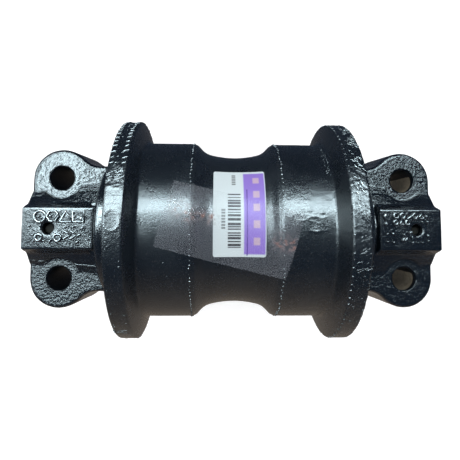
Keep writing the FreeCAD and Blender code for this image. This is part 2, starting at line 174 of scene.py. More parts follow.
def section(node):
    """Outline of a shell half in the X-Z plane, read from the CAD mesh: (x, r) points from the middle of
    the waist, out around the flange and back along the bore."""
    bm = bmesh.new()
    bm.from_mesh(frame["nodes"][node].data)
    bmesh.ops.remove_doubles(bm, verts=bm.verts, dist=1e-6)
    on_plane = {v for v in bm.verts if abs(v.co.y) < 1e-6 and v.co.z > 0}
    here = max((v for v in on_plane if abs(v.co.x) < 1e-6), key=lambda v: v.co.z)
    walk = [here]
    came_from = None
    while True:
        onward = [
            e.other_vert(here) for e in here.link_edges
            if e.other_vert(here) in on_plane and e.other_vert(here) is not came_from
            and not (abs(here.co.x) < 1e-6 and abs(e.other_vert(here).co.x) < 1e-6)
        ]
        if not onward:
            break
        came_from, here = here, min(onward, key=lambda v: (v.co - walk[-1].co).length)
        walk.append(here)
    outline = np.array([(v.co.x, v.co.z) for v in walk])
    bm.free()
    return outline


def resample(outline, step):
    """Points every step along an outline."""
    lengths = np.hypot(*np.diff(outline, axis=0).T)
    s = np.concatenate([[0], np.cumsum(lengths)])
    even = np.linspace(0, s[-1], int(round(s[-1] / step)) + 1)
    return np.column_stack([np.interp(even, s, outline[:, 0]), np.interp(even, s, outline[:, 1])])


def softened(outline, step, reach):
    """The outline with its corners rounded over about reach."""
    count = int(3 * reach / step)
    kernel = np.exp(-0.5 * (np.arange(-count, count + 1) * step / reach) ** 2)
    kernel /= kernel.sum()
    padded = np.pad(outline, ((count, count), (0, 0)), mode="edge")
    return np.column_stack([np.convolve(padded[:, i], kernel, "valid") for i in (0, 1)])


class Field:
    """Heights over the shell's outside: one row per point of the outline, one column per angle."""

    def __init__(self, outline, columns):
        self.x = outline[:, 0][:, None]
        self.r = outline[:, 1][:, None]
        self.angle = np.linspace(-pi, pi, columns, endpoint=False)[None, :]
        self.height = np.zeros((len(outline), columns))
        along = np.hypot(*np.diff(outline, axis=0).T)
        self.s = np.concatenate([[0], np.cumsum(along)])[:, None]

    def noise(self, rng, size, height, mask=1.0):
        """Smooth random hills about size apart."""
        cells_s = max(2, int(self.s[-1, 0] / size))
        cells_a = max(2, int(2 * pi * TREAD_R / size))
        lattice = rng.uniform(-1, 1, (cells_s + 2, cells_a))
        fs = self.s / self.s[-1, 0] * cells_s
        fa = (self.angle + pi) / (2 * pi) * cells_a
        i_s, i_a = fs.astype(int), fa.astype(int) % cells_a
        t_s, t_a = fs - i_s, fa - fa.astype(int)
        t_s, t_a = t_s * t_s * (3 - 2 * t_s), t_a * t_a * (3 - 2 * t_a)
        next_a = (i_a + 1) % cells_a
        low = lattice[i_s, i_a] * (1 - t_a) + lattice[i_s, next_a] * t_a
        high = lattice[i_s + 1, i_a] * (1 - t_a) + lattice[i_s + 1, next_a] * t_a
        self.height += height * mask * (low * (1 - t_s) + high * t_s)

    def window(self, x, angle, reach):
        """Rows and columns near a place on the outside."""
        rows = np.where(abs(self.x[:, 0] - x) < reach)[0]
        turn = (self.angle[0] - angle + pi) % (2 * pi) - pi
        columns = np.where(abs(turn) * TREAD_R < reach)[0]
        return rows, columns, turn[columns]

    def stroke(self, x, degrees_, length, width, tilt, height):
        """A raised (or, below 0, sunk) dash. tilt is in degrees from the X axis towards +Y."""
        rows, columns, turn = self.window(x, radians(degrees_), length + 3 * width)
        if not len(rows) or not len(columns):
            return
        a = self.x[rows] - x
        b = self.r[rows] * turn[None, :]
        c, s = cos(radians(tilt)), sin(radians(tilt))
        along, across = a * c + b * s, b * c - a * s
        shape = np.exp(-(across / width) ** 2) * np.exp(-(along / (0.5 * length)) ** 4)
        self.height[np.ix_(rows, columns)] += height * shape

    def ring(self, x, degrees_, half_x, half_a, width, ridge, dish, power=2.0):
        """A closed ridge around a shallow dish."""
        rows, columns, turn = self.window(x, radians(degrees_), 1.6 * max(half_x, half_a))
        a = abs(self.x[rows] - x) / half_x
        b = abs(self.r[rows] * turn[None, :]) / half_a
        out = (a ** power + b ** power) ** (1 / power)
        shape = ridge * np.exp(-((out - 1) * half_x / width) ** 2) + dish * (out < 1) * (1 - out ** 2) ** 2
        self.height[np.ix_(rows, columns)] += shape


def fade(value, low, high):
    """0 below low, 1 above high, smooth between."""
    t = np.clip((value - low) / (high - low), 0, 1)
    return t * t * (3 - 2 * t)


def between(value, low, high, soft):
    """1 between low and high, 0 outside, smooth over soft."""
    return fade(value, low - soft, low) * (1 - fade(value, high, high + soft))


def dents(field, rng):
    """Marks in the steel: scrapes and a faint oval on the left rim, a square on the right tread, and
    scratches on the right rim."""
    rim_x = -FLANGE_OUT_X + 5.6 * MM
    field.ring(rim_x, 4.0, 4.9 * MM, 6.2 * MM, 0.8 * MM, 0.15 * MM, -0.14 * MM)
    for angle, tilt, length in ((-3.2, 12, 7), (-4.8, -20, 5), (-6.6, 30, 6), (-1.8, -8, 8)):
        field.stroke(rim_x + rng.uniform(-1, 1) * MM, angle, length * MM, 0.4 * MM, tilt, 0.12 * MM)
    for _ in range(40):
        field.stroke(rim_x + rng.uniform(-4.5, 4.5) * MM, rng.uniform(18, 31), rng.uniform(2, 5) * MM,
                     0.5 * MM, rng.uniform(5, 50), rng.uniform(-0.25, 0.28) * MM)
    for _ in range(26):
        field.stroke(rim_x, rng.uniform(5, 22), 11 * MM, rng.uniform(0.4, 0.9) * MM, rng.uniform(-4, 4),
                     rng.uniform(-0.08, 0.10) * MM)
    stamp_x = 48 * MM
    field.ring(stamp_x, 3.4, 4.2 * MM, 4.6 * MM, 0.55 * MM, 0.26 * MM, -0.10 * MM, power=4.0)
    for _ in range(22):
        field.stroke(stamp_x + rng.uniform(-10, 7) * MM, rng.uniform(-1, 10), rng.uniform(2, 6) * MM,
                     0.45 * MM, rng.uniform(-30, 35), rng.uniform(0.05, 0.17) * MM)
    for _ in range(90):
        field.stroke(FLANGE_OUT_X - rng.uniform(1, 9) * MM, rng.uniform(-8, 30), rng.uniform(2, 5) * MM,
                     0.5 * MM, rng.uniform(-75, 20), rng.uniform(-0.22, 0.26) * MM)


def shell_mesh():
    """The shell as one closed surface: the CAD outline with softened corners, a rough skin and dents."""
    fine_step = 0.2 * MM
    right = section("shell_half_right")
    left = section("shell_half_left")
    recess_r = DISC_R + 1.5 * MM
    out_r, out_l = [
        next(i for i, p in enumerate(o) if abs(p[0]) > 0.9 * FLANGE_OUT_X and p[1] < recess_r + 2 * MM)
        for o in (right, left)
    ]
    outside = np.vstack([left[1:out_l + 1][::-1], right[:out_r + 1]])
    bore = np.vstack([right[out_r + 1:], left[out_l + 1:-1][::-1]])
    dense = softened(resample(outside, fine_step), fine_step, 0.45 * MM)
    keep = [0]
    for i in range(1, len(dense)):
        x, r = abs(dense[i, 0]), dense[i, 1]
        on_rim = r > FLANGE_R - 4 * MM
        on_edge = abs(x - TREAD_IN_X) < 2.5 * MM
        spacing = 0.45 * MM if on_rim or on_edge else 0.9 * MM
        if np.hypot(*(dense[i] - dense[keep[-1]])) >= spacing or i == len(dense) - 1:
            keep.append(i)
    slope = np.gradient(dense, axis=0)
    normal = np.column_stack([-slope[:, 1], slope[:, 0]])
    normal /= np.hypot(*normal.T)[:, None]
    outline, normal = dense[keep], normal[keep]

    rng = np.random.default_rng(7)
    field = Field(outline, COLUMNS)
    x, r, angle = field.x, field.r, np.degrees(field.angle)
    on_rim = fade(r, FLANGE_R - 3 * MM, FLANGE_R - 1.0 * MM)
    right_tread = between(x, TREAD_IN_X, TREAD_OUT_X, 2 * MM)
    left_tread = between(x, -TREAD_OUT_X, -TREAD_IN_X, 2 * MM)
    right_rim = on_rim * (x > 0)
    left_rim = on_rim * (x < 0)
    field.noise(rng, 2.6 * MM, 0.05 * MM, right_tread + 0.15 * left_tread)
    field.noise(rng, 1.3 * MM, 0.034 * MM, right_tread + 0.3 * left_tread)
    field.noise(rng, 1.6 * MM, 0.13 * MM, right_rim + 0.2 * left_rim)
    field.noise(rng, 9 * MM, 0.04 * MM)
    dents(field, rng)
    field.height *= fade(r, recess_r, recess_r + 4 * MM)

    points = outline[:, None, :] + normal[:, None, :] * field.height[:, :, None]
    swept = around_x(points[..., 0], points[..., 1], field.angle)
    inner = around_x(bore[:, :1], bore[:, 1:], field.angle)
    return grid_mesh("roller_shell", np.concatenate([swept, inner]), True, True), outline


class Lumps:
    """Small raised lumps of steel on the shell: half-sunk ellipsoids gathered in one mesh."""

    RINGS, SIDES = 6, 10

    def __init__(self, outline):
        self.outline = outline
        slope = np.gradient(outline, axis=0)
        self.slope = slope / np.hypot(*slope.T)[:, None]
        self.points = []
        up = np.linspace(-pi / 2, pi / 2, self.RINGS + 1)[1:-1]
        round_ = np.linspace(0, 2 * pi, self.SIDES, endpoint=False)
        ball = [(cos(a) * cos(b), cos(a) * sin(b), sin(a)) for a in up for b in round_]
        self.ball = np.array(ball + [(0, 0, -1), (0, 0, 1)])

    def add(self, x, r, degrees_, length, width, height, tilt):
        """A lump at the outline's point nearest x, r. Its length, width and height are in millimetres, and
        tilt is in degrees from the X axis towards +Y."""
        i = np.argmin(np.hypot(self.outline[:, 0] - x, self.outline[:, 1] - r))
        (px, pr), (tx, tr) = self.outline[i], self.slope[i]
        a = radians(degrees_)
        radial, around = np.array([0, sin(a), cos(a)]), np.array([0, cos(a), -sin(a)])
        along = np.array([tx, 0, 0]) + tr * radial
        out = np.array([-tr, 0, 0]) + tx * radial
        c, s = cos(radians(tilt)), sin(radians(tilt))
        ahead, aside = along * c + around * s, around * c - along * s
        ball = self.ball * (length * MM / 2, width * MM / 2, height * MM)
        turned = ball[:, :1] * ahead + ball[:, 1:2] * aside + ball[:, 2:] * out
        self.points.append(np.array([px, 0, 0]) + pr * radial + turned)

    def mesh(self, name):
        rings, sides = self.RINGS - 1, self.SIDES
        count = len(self.ball)
        faces = []
        for k in range(rings - 1):
            for j in range(sides):
                n = (j + 1) % sides
                faces.append((k * sides + j, k * sides + n, (k + 1) * sides + n, (k + 1) * sides + j))
        for j in range(sides):
            n = (j + 1) % sides
            faces.append((count - 2, n, j))
            faces.append((count - 1, (rings - 1) * sides + j, (rings - 1) * sides + n))
        every = [tuple(i + k * count for i in f) for k in range(len(self.points)) for f in faces]
        mesh = bpy.data.meshes.new(name)
        mesh.from_pydata(np.concatenate(self.points).tolist(), [], every)
        mesh.shade_smooth()
        return mesh


def raised_marks(outline):
    """Chatter burrs along the rims, beads along the treads' inner edges, slashes across the right rim."""
    rng = np.random.default_rng(21)
    some = rng.uniform
    marks = Lumps(outline)
    rim_in_x = FLANGE_OUT_X - RIM_W
    edge_x = section("shell_half_right")
    edge_x = edge_x[abs(edge_x[:, 1] - TREAD_R) < 1e-5, 0].min()

    for k in range(TEETH):
        angle = -180 + 360 / TEETH * (k + 0.5)
        strong = angle > 27 or angle < -80
        for x in (-FLANGE_OUT_X + 2.2 * MM, -rim_in_x - 1.9 * MM):
            if strong:
                marks.add(x, FLANGE_R, angle + some(-0.4, 0.4), some(3.2, 5.0), some(1.3, 1.8),
                          some(0.55, 0.8), some(18, 36))
            elif some() < 0.45 and abs(angle - 12) > 12:
                marks.add(x, FLANGE_R, angle + some(-1, 1), some(0.7, 1.4), some(0.5, 0.8),
                          some(0.12, 0.25), some(-20, 40))
        if strong and some() < 0.5:
            marks.add(-FLANGE_OUT_X + some(3.5, 8) * MM, FLANGE_R, angle + some(-1, 1), some(1.5, 3), 0.8,
                      some(0.08, 0.2), some(5, 30))
        marks.add(rim_in_x + 0.5 * MM, FLANGE_R, angle + some(-0.5, 0.5), some(0.8, 1.8), some(0.7, 1.1),
                  some(0.2, 0.45), some(-20, 20))
        if some() < 0.7:
            marks.add(FLANGE_OUT_X - 0.9 * MM, FLANGE_R, angle + some(-1, 1), some(0.8, 1.5), some(0.5, 0.9),
                      some(0.15, 0.35), some(-60, 60))

    slashes = ((24, 62, 46, -38, 1), (-18, -2, 18, 26, 0.5), (62, 100, 9, -30, 0.8), (3, 24, 20, -60, 0.8))
    for low, high, count, tilt, tall in slashes:
        for _ in range(count):
            marks.add(FLANGE_OUT_X - some(1.5, 8) * MM, FLANGE_R, some(low, high), some(2, 5),
                      some(0.4, 0.75), some(0.12, 0.3) * tall, tilt + some(-14, 14))

    for k in range(BEADS):
        angle = -180 + 360 * k / BEADS
        for side in (-1, 1):
            if some() > 0.15:
                size = some(0.9, 1.6) if side > 0 else some(0.8, 1.5)
                marks.add(side * (edge_x + some(-0.5, 0.4) * MM), TREAD_R, angle + some(-0.6, 0.6), size,
                          size * some(0.8, 1.2), size * 0.42, some(0, 90))

    for _ in range(26):
        marks.add(-FLANGE_OUT_X + some(1, 10) * MM, FLANGE_R, some(21, 30), some(1.5, 4), some(0.6, 1),
                  some(0.1, 0.3), some(5, 50))
    oval_x, oval_angle, oval_half_x, oval_half_a = -73.3 * MM, 4.0, 4.8 * MM, 6.0 * MM
    for k in range(9):
        t = pi * (1.12 + 0.095 * k)
        marks.add(oval_x + oval_half_x * cos(t), FLANGE_R,
                  oval_angle + degrees(oval_half_a * sin(t) / FLANGE_R), 1.5, 0.9, 0.3, degrees(t) + 90)
    for _ in range(70):
        marks.add(some(-60, 60) * MM, TREAD_R, some(-180, 180), some(0.5, 1.1), some(0.3, 0.5),
                  some(0.06, 0.15), some(-90, 90))
    for _ in range(40):
        marks.add(some(59, 62) * MM, TREAD_R, some(34, 62), some(0.5, 1.2), some(0.4, 0.8),
                  some(0.1, 0.25), some(-90, 90))
    for _ in range(40):
        marks.add(FLANGE_OUT_X - some(1, 10) * MM, FLANGE_R, some(-70, -16), some(0.4, 0.9), some(0.4, 0.6),
                  some(0.1, 0.22), some(-90, 90))
    for _ in range(12):
        marks.add(-FLANGE_OUT_X + some(1, 9) * MM, FLANGE_R, some(-62, -54), some(1.5, 3.5), 0.7, 0.22,
                  some(-25, 25))
    return marks.mesh("raised_marks")


def cast_mesh(node):
    """The collar as a casting: remeshed, its edges rounded, with a rough skin where it isn't machined."""
    source = frame["nodes"][node]
    bm = bmesh.new()
    bm.from_mesh(source.data)
    bmesh.ops.remove_doubles(bm, verts=bm.verts, dist=1e-6)
    if node == "collar_left":
        infill = bmesh.ops.create_cube(bm, size=1)["verts"]
        for v in infill:
            half_y = INFILL_TOP_HALF_Y if v.co.z > 0 else INFILL_FOOT_HALF_Y
            v.co = Vector((
                INFILL_MIDDLE_X + INFILL_LENGTH * v.co.x,
                2 * half_y * v.co.y,
                INFILL_MIDDLE_Z + INFILL_HEIGHT * v.co.z,
            )) * MM
    raw = bpy.data.meshes.new(node + "_raw")
    bm.to_mesh(raw)
    bm.free()
    work = bpy.data.objects.new(node + "_work", raw)
    bpy.context.scene.collection.objects.link(work)
    remesh = work.modifiers.new("voxels", "REMESH")
    remesh.mode = "VOXEL"
    remesh.voxel_size = VOXEL
    remesh.use_smooth_shade = True
    smooth = work.modifiers.new("round", "SMOOTH")
    smooth.factor = 0.5
    smooth.iterations = 7
    graph = bpy.context.evaluated_depsgraph_get()
    mesh = bpy.data.meshes.new_from_object(work.evaluated_get(graph))
    bpy.data.objects.remove(work)
    count = len(mesh.vertices)
    co = np.empty(count * 3, np.float32)
    no = np.empty(count * 3, np.float32)
    mesh.vertices.foreach_get("co", co)
    mesh.vertices.foreach_get("normal", no)
    co, no = co.reshape(-1, 3).astype(float), no.reshape(-1, 3).astype(float)

    x, y, z = abs(co[:, 0]), abs(co[:, 1]), co[:, 2]
    up = fade(no[:, 2], 0.55, 0.9)
    hole = np.hypot(x - BOLT_X, y - BOLT_Y)
    lug_face = up * (abs(z - LUG_TOP_Z) < 2.5 * MM)
    block_face = up * (z > BLOCK_TOP_Z - 2 * MM) * (y < BLOCK_SKIN_HALF_Y)
    machined = (hole < BOLT_R + 0.7 * MM) | (z < MOUNT_Z + 1.2 * MM) | (np.hypot(y, z) < BORE_SKIN_R)
    pinhole = np.hypot(x - PIN_X, y) < PINHOLE_SKIN_R
    disc = x < DISC_SKIN_X
    smooth_lug = (co[:, 0] > 0) & (co[:, 1] < -BLOCK_SKIN_HALF_Y)
    rough = np.where(machined | pinhole, 0.0, np.where(disc, 0.15, np.where(smooth_lug, 0.5, 1.0)))
    coarse = np.array([noise.fractal(Vector(p) * 620, 0.9, 2.1, 3) for p in co])
    broad = np.array([noise.noise(Vector(p) * 120) for p in co])
    fine_height = 0.05 + 0.07 * lug_face - 0.01 * block_face
    height = rough * (coarse * fine_height + (0.10 + 0.12 * block_face) * broad) * MM
    co += no * height[:, None]
    mesh.vertices.foreach_set("co", co.astype(np.float32).ravel())

    # Rubbed-through steel shows on one side of the right collar's bolt holes, where the light gets in: partly
    # real wear, partly painted light, a lighter tone laid only on the lit side of each wall
    wear_and_lit_side = fade(LUG_TOP_Z - z, 2 * MM, 5 * MM) * (hole < BOLT_R + 0.6 * MM)
    across = (co[:, 0] - BOLT_X - (co[:, 1] - np.sign(co[:, 1]) * BOLT_Y)) / BOLT_R
    wear_and_lit_side *= fade(across, 0.1, 0.6)
    point_values(mesh, "cast", rough * (0.35 + 0.65 * lug_face - 0.1 * block_face))
    point_values(mesh, "wall", hole < BOLT_R + 0.45 * MM)
    point_values(mesh, "bare_and_lit_side", wear_and_lit_side)
    mesh.shade_smooth()
    mesh.update()
    return mesh


# ---------------------------------------------------------------- materials

class Material:
    """A node material with a Principled shader, and short ways to add nodes to it."""

    def __init__(self, name):
        self.material = bpy.data.materials.new(name)
        self.material.use_nodes = True
        self.tree = self.material.node_tree
        self.shader = self.tree.nodes["Principled BSDF"]
        self.place = self.add("ShaderNodeTexCoord").outputs["Object"]

    def add(self, kind, **values):
        """Adds a node. A value is a number, a colour or an output to link, keyed by the input's name, or
        by i and its number."""
        node = self.tree.nodes.new(kind)
        for key, value in values.items():
            if hasattr(node, key) and key not in node.inputs:
                setattr(node, key, value)
                continue
            socket = node.inputs[int(key[1:])] if key[0] == "i" and key[1:].isdigit() else node.inputs[key]
            self.feed(socket, value)
        return node

    def feed(self, socket, value):
        """Links an output to a socket, or stores a number or colour there. A colour may lack its alpha."""
        if isinstance(value, bpy.types.NodeSocket):
            self.tree.links.new(value, socket)
        else:
            socket.default_value = (*value, 1) if socket.type == "RGBA" and len(value) == 3 else value

    def math(self, operation, a, b=0.0, c=0.0):
        return self.add("ShaderNodeMath", operation=operation, i0=a, i1=b, i2=c).outputs[0]

    def noise(self, scale, detail=3.0, roughness=0.55, place=None):
        place = self.place if place is None else place
        return self.add("ShaderNodeTexNoise", Vector=place, Scale=scale, Detail=detail,
                        Roughness=roughness).outputs[0]

    def level(self, value, low, high, out_low, out_high):
        """Maps a number linearly and clamps it."""
        return self.add("ShaderNodeMapRange", **{"Value": value, "From Min": low, "From Max": high,
                                                 "To Min": out_low, "To Max": out_high}).outputs[0]

    def mix(self, factor, a, b):
        node = self.add("ShaderNodeMix", data_type="RGBA")
        self.feed(node.inputs["Factor"], factor)
        self.feed(node.inputs[6], a)
        self.feed(node.inputs[7], b)
        return node.outputs[2]

    def bump(self, height, distance):
        bump = self.add("ShaderNodeBump", Height=height, Distance=distance, Strength=1.0)
        self.feed(self.shader.inputs["Normal"], bump.outputs[0])

    def set(self, **values):
        """Feeds the shader's inputs, named with _ for each space."""
        for key, value in values.items():
            self.feed(self.shader.inputs[key.replace("_", " ")], value)


def paint(name, peel, peel_height, roughness, cast=False, burr=False):
    """Near-black gloss paint: orange peel, drifting sheen and dust. A casting's is grainy, dull in the bolt
    holes, and rubbed through to the steel in places, partly as painted light: a lighter tone on the lit side
    of the right collar's hole walls. A burr's coat is brighter, so it glints."""
    m = Material(name)
    cloud = m.noise(35, 3)
    grain = m.noise(peel, 2, 0.5)
    dust = m.level(m.noise(1500, 1, 0.5), 0.66, 0.74, 0, 1)
    colour = m.mix(m.level(cloud, 0.3, 0.7, 0, 1), (0.0024, 0.0050, 0.0088), (0.0045, 0.0076, 0.0118))
    colour = m.mix(m.math("MULTIPLY", dust, 0.25), colour, (0.16, 0.15, 0.14))
    rough = m.level(m.math("ADD", m.math("MULTIPLY", cloud, 0.7), m.math("MULTIPLY", grain, 0.3)),
                    0.3, 0.7, roughness - 0.05, roughness + 0.06)
    height = m.math("ADD", grain, m.math("MULTIPLY", m.noise(peel * 3.1, 2), 0.25))
    m.set(Specular_IOR_Level=0.8, Coat_Weight=0.4, Coat_Roughness=0.10 if cast else 0.16, Coat_IOR=1.5)
    if burr:
        m.set(Coat_Weight=1.0, Coat_IOR=2.4)
    if cast:
        bare_and_lit_side = m.add("ShaderNodeAttribute", attribute_name="bare_and_lit_side").outputs["Fac"]
        wall = m.add("ShaderNodeAttribute", attribute_name="wall").outputs["Fac"]
        skin = m.add("ShaderNodeAttribute", attribute_name="cast").outputs["Fac"]
        # Rubbed-through steel tone on the lit side of the right collar's hole walls: partly wear, partly a
        # painted highlight.
        ragged = m.level(m.math("ADD", bare_and_lit_side, m.math("MULTIPLY", m.noise(260, 3), 0.5)), 0.95, 1.15, 0, 1)
        lit_metal_tone = m.mix(m.noise(400, 4), (0.16, 0.14, 0.105), (0.44, 0.39, 0.30))
        colour = m.mix(ragged, colour, lit_metal_tone)
        rough = m.math("ADD", rough, m.math("MULTIPLY", wall, 0.3))
        m.set(Specular_IOR_Level=m.level(wall, 0, 1, 0.8, 0.1), Coat_Weight=m.level(wall, 0, 1, 0.5, 0.0))
        pits = m.math("ADD", m.noise(1150, 2, 0.6), m.math("MULTIPLY", m.noise(480, 2, 0.5), 2.2))
        height = m.math("ADD", height, m.math("MULTIPLY", m.math("MULTIPLY", pits, skin), 3.4))
    m.set(Base_Color=colour, Roughness=rough)
    m.bump(height, peel_height)
    return m.material


def steel(name, colour, lines, roughness):
    """Turned or ground steel: fine rings around the shaft's axis."""
    m = Material(name)
    x, y, z = m.add("ShaderNodeSeparateXYZ", Vector=m.place).outputs
    radius = m.math("SQRT", m.math("ADD", m.math("MULTIPLY", y, y), m.math("MULTIPLY", z, z)))
    rings = m.add("ShaderNodeCombineXYZ", X=x, Y=radius).outputs[0]
    fine = m.noise(lines, 3, 0.6, rings)
    stain = m.noise(60, 4)
    shade = m.mix(m.level(fine, 0.3, 0.7, 0, 1), tuple(c * 0.75 for c in colour), colour)
    shade = m.mix(m.level(stain, 0.5, 0.8, 0, 0.5), shade, tuple(c * 0.45 for c in colour))
    rough = m.level(fine, 0.3, 0.7, roughness - 0.06, roughness + 0.1)
    m.set(Base_Color=shade, Metallic=1.0, Roughness=rough)
    m.bump(fine, 0.00004)
    return m.material


def rubber(name):
    """Black nitrile rubber with a faint mould bloom."""
    m = Material(name)
    bloom = m.noise(120, 4)
    m.set(Base_Color=m.mix(bloom, (0.010, 0.010, 0.011), (0.035, 0.034, 0.033)),
          Roughness=m.level(bloom, 0.3, 0.7, 0.45, 0.65))
    m.bump(m.noise(2500, 2), 0.00003)
    return m.material


def label_paper(name):
    """Coated paper, printed: the print is in the mesh's colours."""
    m = Material(name)
    print_ = m.add("ShaderNodeAttribute", attribute_name="print").outputs["Color"]
    fibre = m.noise(1400, 3)
    shade = m.mix(m.level(fibre, 0.3, 0.7, 0.0, 0.08), print_, (0.25, 0.26, 0.28))
    m.set(Base_Color=shade, Roughness=m.level(fibre, 0.3, 0.7, 0.42, 0.55), Specular_IOR_Level=0.4)
    m.bump(m.math("ADD", fibre, m.math("MULTIPLY", m.noise(90, 2), 2.0)), 0.00006)
    return m.material


def clear_film(name):
    """Clear tape, slightly milky, with trapped air, fine wrinkles and rubbed rust-red traces."""
    m = Material(name)
    milk = m.noise(70, 4)
    air = m.level(m.noise(700, 2), 0.62, 0.72, 0, 1)
    rust_place = m.add("ShaderNodeAttribute", attribute_name="rust").outputs["Fac"]
    rust = m.math("MULTIPLY", rust_place, m.level(m.noise(420, 4), 0.46, 0.60, 0, 1))
    colour = m.mix(rust, (0.34, 0.37, 0.42), (0.30, 0.10, 0.05))
    cover = m.math("ADD", m.level(milk, 0.3, 0.7, 0.055, 0.09), m.math("MULTIPLY", air, 0.03))
    wetted = m.add("ShaderNodeAttribute", attribute_name="wetted").outputs["Fac"]
    cover = m.math("MULTIPLY", cover, m.level(wetted, 0, 1, 1, 0.35))
    cover = m.math("ADD", cover, m.math("MULTIPLY", rust, 0.4))
    m.set(Base_Color=colour, Alpha=cover, Roughness=m.level(milk, 0.3, 0.7, 0.16, 0.3))
    m.bump(m.math("ADD", milk, m.math("MULTIPLY", air, 0.4)), 0.0001)
    return m.material


def floor_material():
    """Plain pale studio floor with a hardly visible mottle."""
    m = Material("pale_floor")
    mottle = m.noise(8, 3)
    m.set(Base_Color=m.mix(mottle, (0.86, 0.86, 0.86), (0.90, 0.90, 0.90)), Roughness=0.9,
          Specular_IOR_Level=0.1, Emission_Color=(1.0, 1.0, 1.0), Emission_Strength=0.35)
    return m.material


MATERIALS = {
    "shell_paint": paint("shell_paint", 1000, 0.00019, 0.27),
    "collar_paint": paint("collar_paint", 1300, 0.00012, 0.15, cast=True),
    "burr_paint": paint("burr_paint", 1500, 0.00004, 0.25, burr=True),
    "shaft_steel": steel("shaft_steel", (0.50, 0.49, 0.47), 2600, 0.28),
    "pin_steel": steel("pin_steel", (0.022, 0.020, 0.018), 3200, 0.6),
    "bush_bronze": steel("bush_bronze", (0.55, 0.34, 0.15), 2200, 0.30),
    "seal_iron": steel("seal_iron", (0.24, 0.24, 0.25), 4200, 0.22),
    "seal_rubber": rubber("seal_rubber"),
    "washer_copper": steel("washer_copper", (0.62, 0.27, 0.14), 1800, 0.35),
    "label_paper": label_paper("label_paper"),
    "tape_film": clear_film("tape_film"),
}


# ---------------------------------------------------------------- pieces

def radius_at(outline, x):
    """The shell's radius over x, between the flanges."""
    between_flanges = outline[abs(outline[:, 0]) < 0.9 * TREAD_R]
    return np.interp(x, between_flanges[:, 0], between_flanges[:, 1])


def sheet(name, x, angle, radius, thickness):
    """Thin closed sheet on arrays of x, angle and radius."""
    points = np.concatenate([around_x(x, r, angle).reshape(-1, 3) for r in (radius, radius + thickness)])
    index = np.arange(x.size).reshape(x.shape)
    quads = grid_quads(index + x.size)
    underside = [index[:-1, :-1], index[:-1, 1:], index[1:, 1:], index[1:, :-1]]
    quads += np.stack(underside, -1).reshape(-1, 4).tolist()
    rim = np.concatenate([index[0, :-1], index[:-1, -1], index[-1, :0:-1], index[:0:-1, 0]])
    for a, b in zip(rim, np.roll(rim, -1)):
        quads.append([int(a), int(b), int(b + x.size), int(a + x.size)])
    mesh = bpy.data.meshes.new(name)
    mesh.from_pydata(points.tolist(), [], quads)
    bm = bmesh.new()
    bm.from_mesh(mesh)
    bmesh.ops.recalc_face_normals(bm, faces=bm.faces)
    bm.to_mesh(mesh)
    bm.free()
    mesh.shade_smooth()
    return mesh


def print_colours(u, v):
    """Colours of the label's print. u runs across from the barcode's side, v from the bottom to the top."""
    white = np.array([0.50, 0.58, 0.60])
    ink = np.array([0.02, 0.02, 0.025])
    purple = np.array([0.20, 0.115, 0.49])
    dark_purple = np.array([0.07, 0.02, 0.26])
    tan = np.array([0.46, 0.34, 0.38])
    colour = np.broadcast_to(white, u.shape + (3,)).copy()

    def lay(mask, tone):
        nonlocal colour
        colour = colour * (1 - mask[..., None]) + tone * mask[..., None]

    def block(u0, u1, v0, v1, soft_u, soft_v):
        return between(u, u0, u1, soft_u) * between(v, v0, v1, soft_v)

    lay(block(0.60, 0.97, 0.04, 0.96, 0.03, 0.02), purple)
    lay(block(0.635, 0.655, 0.02, 0.74, 0.004, 0.004), dark_purple)
    for centre in (0.86, 0.68, 0.53, 0.35, 0.17):
        lay(0.8 * block(0.78, 0.87, centre - 0.03, centre + 0.03, 0.03, 0.02), tan)
    rng = np.random.default_rng(11)
    at = 0.10
    while at < 0.70:
        width = rng.choice([0.008, 0.014, 0.024])
        lay(block(0.28, 0.52, at, at + width, 0.004, 0.002), ink)
        at += width + rng.choice([0.010, 0.018, 0.026])
    for row_u, v0, v1 in ((0.16, 0.30, 0.52), (0.36, 0.80, 0.95)):
        at = v0
        while at < v1:
            lay(0.75 * block(row_u, row_u + 0.07, at, at + 0.018, 0.004, 0.003), ink)
            at += 0.032
    return colour


def label(outline):
    """Paper label with rounded corners, printed with plain bars and blocks."""
    p = cad_points("barcode_label")
    angles = np.arctan2(p[:, 1], p[:, 2])
    low_x, high_x = p[:, 0].min(), p[:, 0].max()
    low_a, high_a = angles.min(), angles.max()
    end = [0, 0.002, 0.006, 0.012, 0.019]  # closer rows where the corners are
    v = np.concatenate([end, np.linspace(0.027, 0.973, 190), [0.981, 0.988, 0.994, 0.998, 1]])
    length = (high_a - low_a) * radius_at(outline, 0)
    from_end = np.minimum(v, 1 - v) * length
    arc = np.sqrt(np.maximum(LABEL_CORNER ** 2 - (LABEL_CORNER - from_end) ** 2, 0))
    inset = np.where(from_end < LABEL_CORNER, LABEL_CORNER - arc, 0)
    uu, vv = np.meshgrid(np.linspace(0, 1, 120), v)
    half = (high_x - low_x) / 2
    x = (low_x + high_x) / 2 + (2 * uu - 1) * (half - inset[:, None])
    angle = (low_a + vv * (high_a - low_a)) * radius_at(outline, 0) / radius_at(outline, x)
    mesh = sheet("barcode_label", x, angle, radius_at(outline, x) + LABEL_GAP, LABEL_T)
    tones = print_colours((x - low_x) / (high_x - low_x), vv).reshape(-1, 3)
    tones = np.column_stack([np.tile(tones, (2, 1)), np.ones(2 * len(tones))])
    layer = mesh.color_attributes.new("print", "FLOAT_COLOR", "POINT")
    layer.data.foreach_set("color", tones.astype(np.float32).ravel())
    new_piece("label_sheet", mesh, "roller", "label_paper", MATERIALS["label_paper"], "barcode_label")


